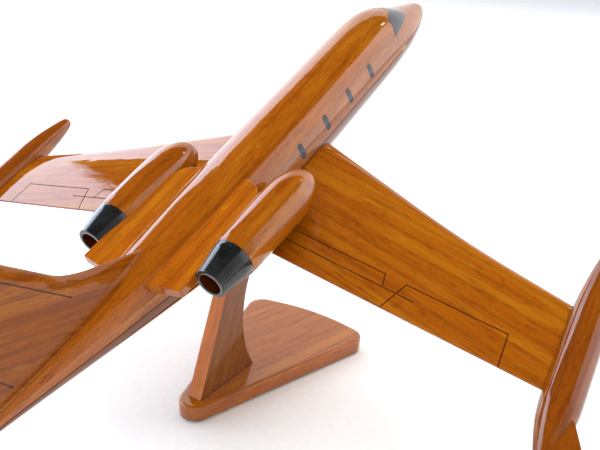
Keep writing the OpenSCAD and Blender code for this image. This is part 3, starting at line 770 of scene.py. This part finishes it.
def tail():
    """Fin with two scribed lines a side, and the tailplane on top of it."""
    fillet = [FIN_FOOT_Z, 20, 20.4, 20.6, 20.8, 21, 21.3, 21.6, 22, 22.4, 22.9, 23.4, 24, 26]
    zs = fillet + list(np.arange(28, 46, 1.0)) + list(np.linspace(46, FIN_TOP, 16))
    fin = loft("fin_blade", [fin_ring(z) for z in zs], AIR)
    cuts = []
    for z0, s0, z1, slope in (STRIP_LINE, RUDDER_LINE):
        shares = [k / SCRIBE_STEPS for k in range(SCRIBE_STEPS + 1)]
        for side in (-1, 1):
            ends = [fin_point(z0 + (z1 - z0) * k, s0 + (z1 - z0) * slope * k, side) for k in shares]
            cuts += [(a, b, (side, 0, 0), LINE_W, LINE_D) for a, b in zip(ends, ends[1:])]
    scribe(fin, cuts, AIR)
    finish_piece(fin, "aircraft", "tail_wood", tail_wood, "fin")

    def surface(x, u, side):
        """Point of the tailplane at span x and share u of the chord."""
        front = fin_front(FIN_TOP) + TAIL_BACK + TAIL_LE_SLOPE * abs(x)
        back = fin_back(FIN_TOP) + TAIL_BACK + TAIL_TE_SLOPE * abs(x)
        thick = TAIL_T - TAIL_TIP_LOSS * abs(x) / TAIL_HALF
        return (x, front + u * (back - front), FIN_TOP + TAIL_LIFT + side * foil_half(u, thick, TAIL_EDGE))

    xs = list(np.linspace(-TAIL_HALF, TAIL_HALF, 41))
    rings = [foil_ring(lambda u: surface(x, u, 1), lambda u: surface(x, u, -1), TAIL_TE_R, 32) for x in xs]
    plane = loft("tailplane_panel", rings, AIR)
    finish_piece(plane, "aircraft", "tail_wood", tail_wood, "tailplane")


# ---------------------------------------------------------------- stand
FELT_T, BASE_T, BASE_LEN, BASE_HALF, BASE_SHARE = 1.0, 8.2, 138.0, 42.8, 0.955
BOW, BOW_R, TIP_R, SIDE_R, TOP_EASE = 2.2, 110, 8.5, 9.5, 1.3
# inset and height of the board's lower edge, and how far its top face starts inside the eased edge
LOW_EDGE, TOP_INSET = [(0.7, 0), (0.2, 0.15), (0, 0.6)], 0.8
# a face of the post whose normal has at least this much +Y gets a much paler copy of its wood, painted light
# on the faces turned aft
AFT_FACING = 0.8


def corner(p, q, r, radius, inset, count):
    """Arc of a corner's own radius, shrunk by `inset`."""
    p, q, r = Vector(p), Vector(q), Vector(r)
    u, v = (p - q).normalized(), (r - q).normalized()
    b = (u + v).normalized()
    half = math.degrees(math.acos(max(-1, min(1, u.dot(v))))) / 2
    c = q + b * (radius / math.sin(math.radians(half)))
    middle = math.degrees(math.atan2(-b.y, -b.x))
    return arc(c.x, c.y, radius - inset, middle - (90 - half), middle + (90 - half), count)


def board_outline(inset):
    """Rounded triangle with a slightly bowed forward edge."""
    tip, bow = (0, BASE_LEN / 2), (0, -BASE_LEN / 2 - BOW)
    port = (BASE_HALF * BASE_SHARE, BASE_LEN / 2 - BASE_LEN * BASE_SHARE)
    starboard = (-port[0], port[1])
    return (corner(port, tip, starboard, TIP_R, inset, 28) + corner(tip, starboard, bow, SIDE_R, inset, 24)
            + corner(starboard, bow, port, BOW_R, inset, 10) + corner(bow, port, tip, SIDE_R, inset, 24))


def stand():
    """Base board, post and felt."""
    z0, z1 = FELT_T, FELT_T + BASE_T
    levels = [(inset, z0 + rise) for inset, rise in LOW_EDGE]
    for a in (math.radians(15 * k) for k in range(7)):
        levels.append((TOP_EASE * (1 - math.cos(a)), z1 - TOP_EASE + TOP_EASE * math.sin(a)))
    levels.append((TOP_EASE + TOP_INSET, z1))
    outlines = [[(x, y, z) for x, y in board_outline(inset)] for inset, z in levels]
    board = loft("base_board_slab", outlines, ROW, False, 40)
    finish_piece(board, "stand", "base_wood", board_wood, "base_board")
    post = welded("stand_post", "stand_post_blade")
    ease(post, width=0.6)
    finish_piece(post, "stand", "post_wood", post_wood, "stand_post")
    # painted light: faces turned aft get the paler copy of the post's wood
    post.data.materials.append(post_aft_lit_wood)
    for face in post.data.polygons:
        face.material_index = 1 if face.normal.y > AFT_FACING else 0
    felt = welded("base_felt", "base_felt_sheet")
    finish_piece(felt, "stand", "felt", felt_material, "base_felt")


# ---------------------------------------------------------------- windshield and windows
# port half of the windshield's outline seen from above: distance to port and distance aft
SHIELD_PLAN = [(0, 33.0), (5.5, 33.2), (9.6, 34.2), (13.4, 39.0), (15.6, 48.5),
               (17.3, 60.2), (13.7, 56.4), (11.9, 57.3), (5.4, 44.2), (0, 43.0)]
SHIELD_FROM, SHIELD_TO, SHIELD_LOW, SHIELD_HIGH, SHIELD_PROUD = 31.0, 63.0, 1.5, 40.0, 0.1


def inlays():
    """Window inlays keep their CAD shape; the windshield follows the finer fuselage skin."""
    for node in sorted(nodes):
        if node.startswith("window"):
            inlay = welded(node, node + "_inlay", 30)
            finish_piece(inlay, "aircraft", "window_black", window_black, node)
    stations = np.arange(SHIELD_FROM, SHIELD_TO, 0.5)
    shield = loft("windshield_inlay", [section_ring(s, True, 96, SHIELD_PROUD) for s in stations], AIR)
    outline = SHIELD_PLAN + [(-x, s) for x, s in SHIELD_PLAN[-2:0:-1]]
    levels = [[(x, s, z) for x, s in outline] for z in (SHIELD_LOW, SHIELD_HIGH)]
    blank = loft("windshield_plan", levels, AIR)
    carve(shield, blank, "INTERSECT", 40.0)
    finish_piece(shield, "aircraft", "window_black", window_black, "windshield")


def hidden_hardware():
    """CAD nodes that keep their own shape."""
    for node, obj in nodes.items():
        material = None
        if "dowel" in node:
            material = dowel_material
        elif node == "locating_pins":
            material = pin_steel
        elif node == "post_screws":
            material = screw_steel
        if material:
            obj.data.materials.clear()
            obj.data.materials.append(material)


fuselage()
wings()
tanks()
nacelles()
tail()
stand()
inlays()
hidden_hardware()


# ---------------------------------------------------------------- floor, light and camera
CEILING_LIGHT = 0.05
EDGE_BLUR = 0.022
# by azimuth in degrees: the brightness of the walls, the elevation where they end, and their tint
WALLS = [(-180, 0.5), (-160, 1.3), (-130, 2.5), (-105, 1.6), (-80, 1.05), (-55, 1.1), (-38, 2.4), (-22, 3.8),
         (0, 4.1), (20, 3.9), (45, 2.2), (70, 0.6), (110, 0.35), (150, 0.35), (180, 0.5)]
WALL_TOPS = [(-180, 50), (-160, 51), (-140, 46), (-120, 45), (-100, 41), (-80, 44), (-60, 49), (-40, 46),
             (-21.5, 44), (-20, 26.5), (-16.5, 29.5), (-13, 32), (-9.5, 35), (-7, 38), (0, 40), (20, 40),
             (60, 41), (120, 48), (180, 50)]
WARM_WALL, COOL_WALL = (1.0, 0.98, 0.97), (0.84, 0.96, 1.14)
WALL_TINTS = [(-180, WARM_WALL), (-50, WARM_WALL), (-25, COOL_WALL), (35, COOL_WALL), (65, WARM_WALL),
              (180, WARM_WALL)]
# name, place, target, diameter in metres, power in watts, colour, and whether the varnish reflects it
LIGHTS = [
    ("ceiling_panel", (0.3, -0.6, 3.2), (0.3, -0.6, 0), 4.8, 132, (1.0, 0.99, 0.97), False),
    ("aft_panel", (-0.9, 1.5, 1.1), (0, 0, 0.1), 1.2, 9, (1.0, 0.96, 0.90), False),
    ("lamp_aft", (-0.33, -0.90, 1.15), (0, 0, 0.1), 0.10, 0.25, (1.0, 0.86, 0.62), True),
]
CAMERA_AT = (-0.18527, 0.25860, 0.21085)
AZIMUTH, ELEVATION, ROLL = -60.61, -20.48, 3.99
LENS, SHIFT_X, SHIFT_Y = 41.35, -0.036, -0.0117


def floor():
    """A wide pale floor, in rings that grow with distance."""
    radii = [0.0, 0.15, 0.4, 1.0, 2.5, 6.0, 14.0]
    seg = 64
    turns = [2 * math.pi * k / seg for k in range(seg)]
    verts = [(r * math.cos(a), r * math.sin(a), 0) for r in radii[1:] for a in turns]
    faces = [(i * seg + k, i * seg + (k + 1) % seg, (i + 1) * seg + (k + 1) % seg, (i + 1) * seg + k)
             for i in range(len(radii) - 2) for k in range(seg)] + [tuple(range(seg))]
    obj = new_object("floor", [(x / MM, y / MM, 0) for x, y, z in verts], faces, ROW)
    t = Tree("floor_paper")
    speck = t.noise(t.coords, 300, 4, 0.6)
    t.to_shader(t.ramp(speck, [(0.3, (0.90, 0.90, 0.90)), (0.7, (0.94, 0.94, 0.94))]), "Base Color")
    t.to_shader(t.span(speck, 0.3, 0.7, 0.85, 0.95), "Roughness")
    t.to_shader(t.bump(speck, 0.1 * MM, 0.2), "Normal")
    obj.data.materials.append(t.material)


def sky():
    """Walls whose brightness changes with azimuth, under a dim ceiling."""
    world = bpy.data.worlds.new("studio")
    bpy.context.scene.world = world
    world.use_nodes = True
    tree = world.node_tree
    tree.nodes.clear()
    link = tree.links.new

    def node(kind, **inputs):
        n = tree.nodes.new(kind)
        for key, value in inputs.items():
            n.inputs[key.replace("_", " ")].default_value = value
        return n

    split = node("ShaderNodeSeparateXYZ")
    link(node("ShaderNodeTexCoord").outputs["Generated"], split.inputs[0])
    turn = node("ShaderNodeMath")
    turn.operation = "ARCTAN2"
    link(split.outputs["Y"], turn.inputs[0])
    link(split.outputs["X"], turn.inputs[1])
    share = node("ShaderNodeMapRange", From_Min=-math.pi, From_Max=math.pi)
    link(turn.outputs[0], share.inputs["Value"])

    def around(table):
        """Looks a value up by azimuth."""
        ramp = node("ShaderNodeValToRGB")
        while len(ramp.color_ramp.elements) < len(table):
            ramp.color_ramp.elements.new(0.5)
        for element, (angle, value) in zip(ramp.color_ramp.elements, table):
            element.position = (angle + 180) / 360
            element.color = (*value, 1) if isinstance(value, tuple) else (value, value, value, 1)
        link(share.outputs["Result"], ramp.inputs["Fac"])
        return ramp.outputs["Color"]

    brightest = max(value for _, value in WALLS)
    above = node("ShaderNodeMath")
    above.operation = "SUBTRACT"
    link(split.outputs["Z"], above.inputs[0])
    link(around([(a, math.sin(math.radians(top))) for a, top in WALL_TOPS]), above.inputs[1])
    rise = node("ShaderNodeMapRange", From_Min=-EDGE_BLUR, From_Max=EDGE_BLUR, To_Min=1.0, To_Max=0.0)
    rise.interpolation_type = "SMOOTHSTEP"
    link(above.outputs[0], rise.inputs["Value"])
    walls = node("ShaderNodeMath")
    walls.operation = "MULTIPLY"
    link(around([(a, value / brightest) for a, value in WALLS]), walls.inputs[0])
    link(rise.outputs["Result"], walls.inputs[1])
    strength = node("ShaderNodeMath")
    strength.operation = "MULTIPLY_ADD"
    strength.inputs[1].default_value = brightest
    strength.inputs[2].default_value = CEILING_LIGHT
    link(walls.outputs[0], strength.inputs[0])
    back = node("ShaderNodeBackground")
    link(around(WALL_TINTS), back.inputs["Color"])
    link(strength.outputs[0], back.inputs["Strength"])
    out = node("ShaderNodeOutputWorld")
    link(back.outputs[0], out.inputs["Surface"])


def area_light(name, location, target, size, power, colour, glossy):
    """A round soft light that faces its target."""
    data = bpy.data.lights.new(name, "AREA")
    data.shape = "DISK"
    data.size = size
    data.energy = power
    data.color = colour
    obj = bpy.data.objects.new(name, data)
    obj.location = location
    obj.rotation_euler = (Vector(target) - Vector(location)).to_track_quat("-Z", "Y").to_euler()
    obj.visible_glossy = glossy
    bpy.context.scene.collection.objects.link(obj)


def camera():
    """Seen from behind, above and to starboard; the small roll and shift frame the tail and the tank."""
    azimuth, elevation, roll = math.radians(AZIMUTH), math.radians(ELEVATION), math.radians(ROLL)
    level = math.cos(elevation)
    forward = Vector((level * math.cos(azimuth), level * math.sin(azimuth), math.sin(elevation)))
    right = forward.cross(Vector((0, 0, 1))).normalized()
    up = right.cross(forward)
    right, up = right * math.cos(roll) + up * math.sin(roll), up * math.cos(roll) - right * math.sin(roll)
    data = bpy.data.cameras.new("camera")
    data.sensor_width = 36
    data.lens = LENS
    data.shift_x = SHIFT_X
    data.shift_y = SHIFT_Y
    data.clip_start, data.clip_end = 0.01, 50
    obj = bpy.data.objects.new("camera", data)
    turn = Matrix((right, up, -forward)).transposed().to_4x4()
    obj.matrix_world = Matrix.Translation(Vector(CAMERA_AT)) @ turn
    bpy.context.scene.collection.objects.link(obj)
    bpy.context.scene.camera = obj


floor()
sky()
for lamp in LIGHTS:
    area_light(*lamp)
camera()
bpy.context.scene.view_settings.view_transform = "Standard"
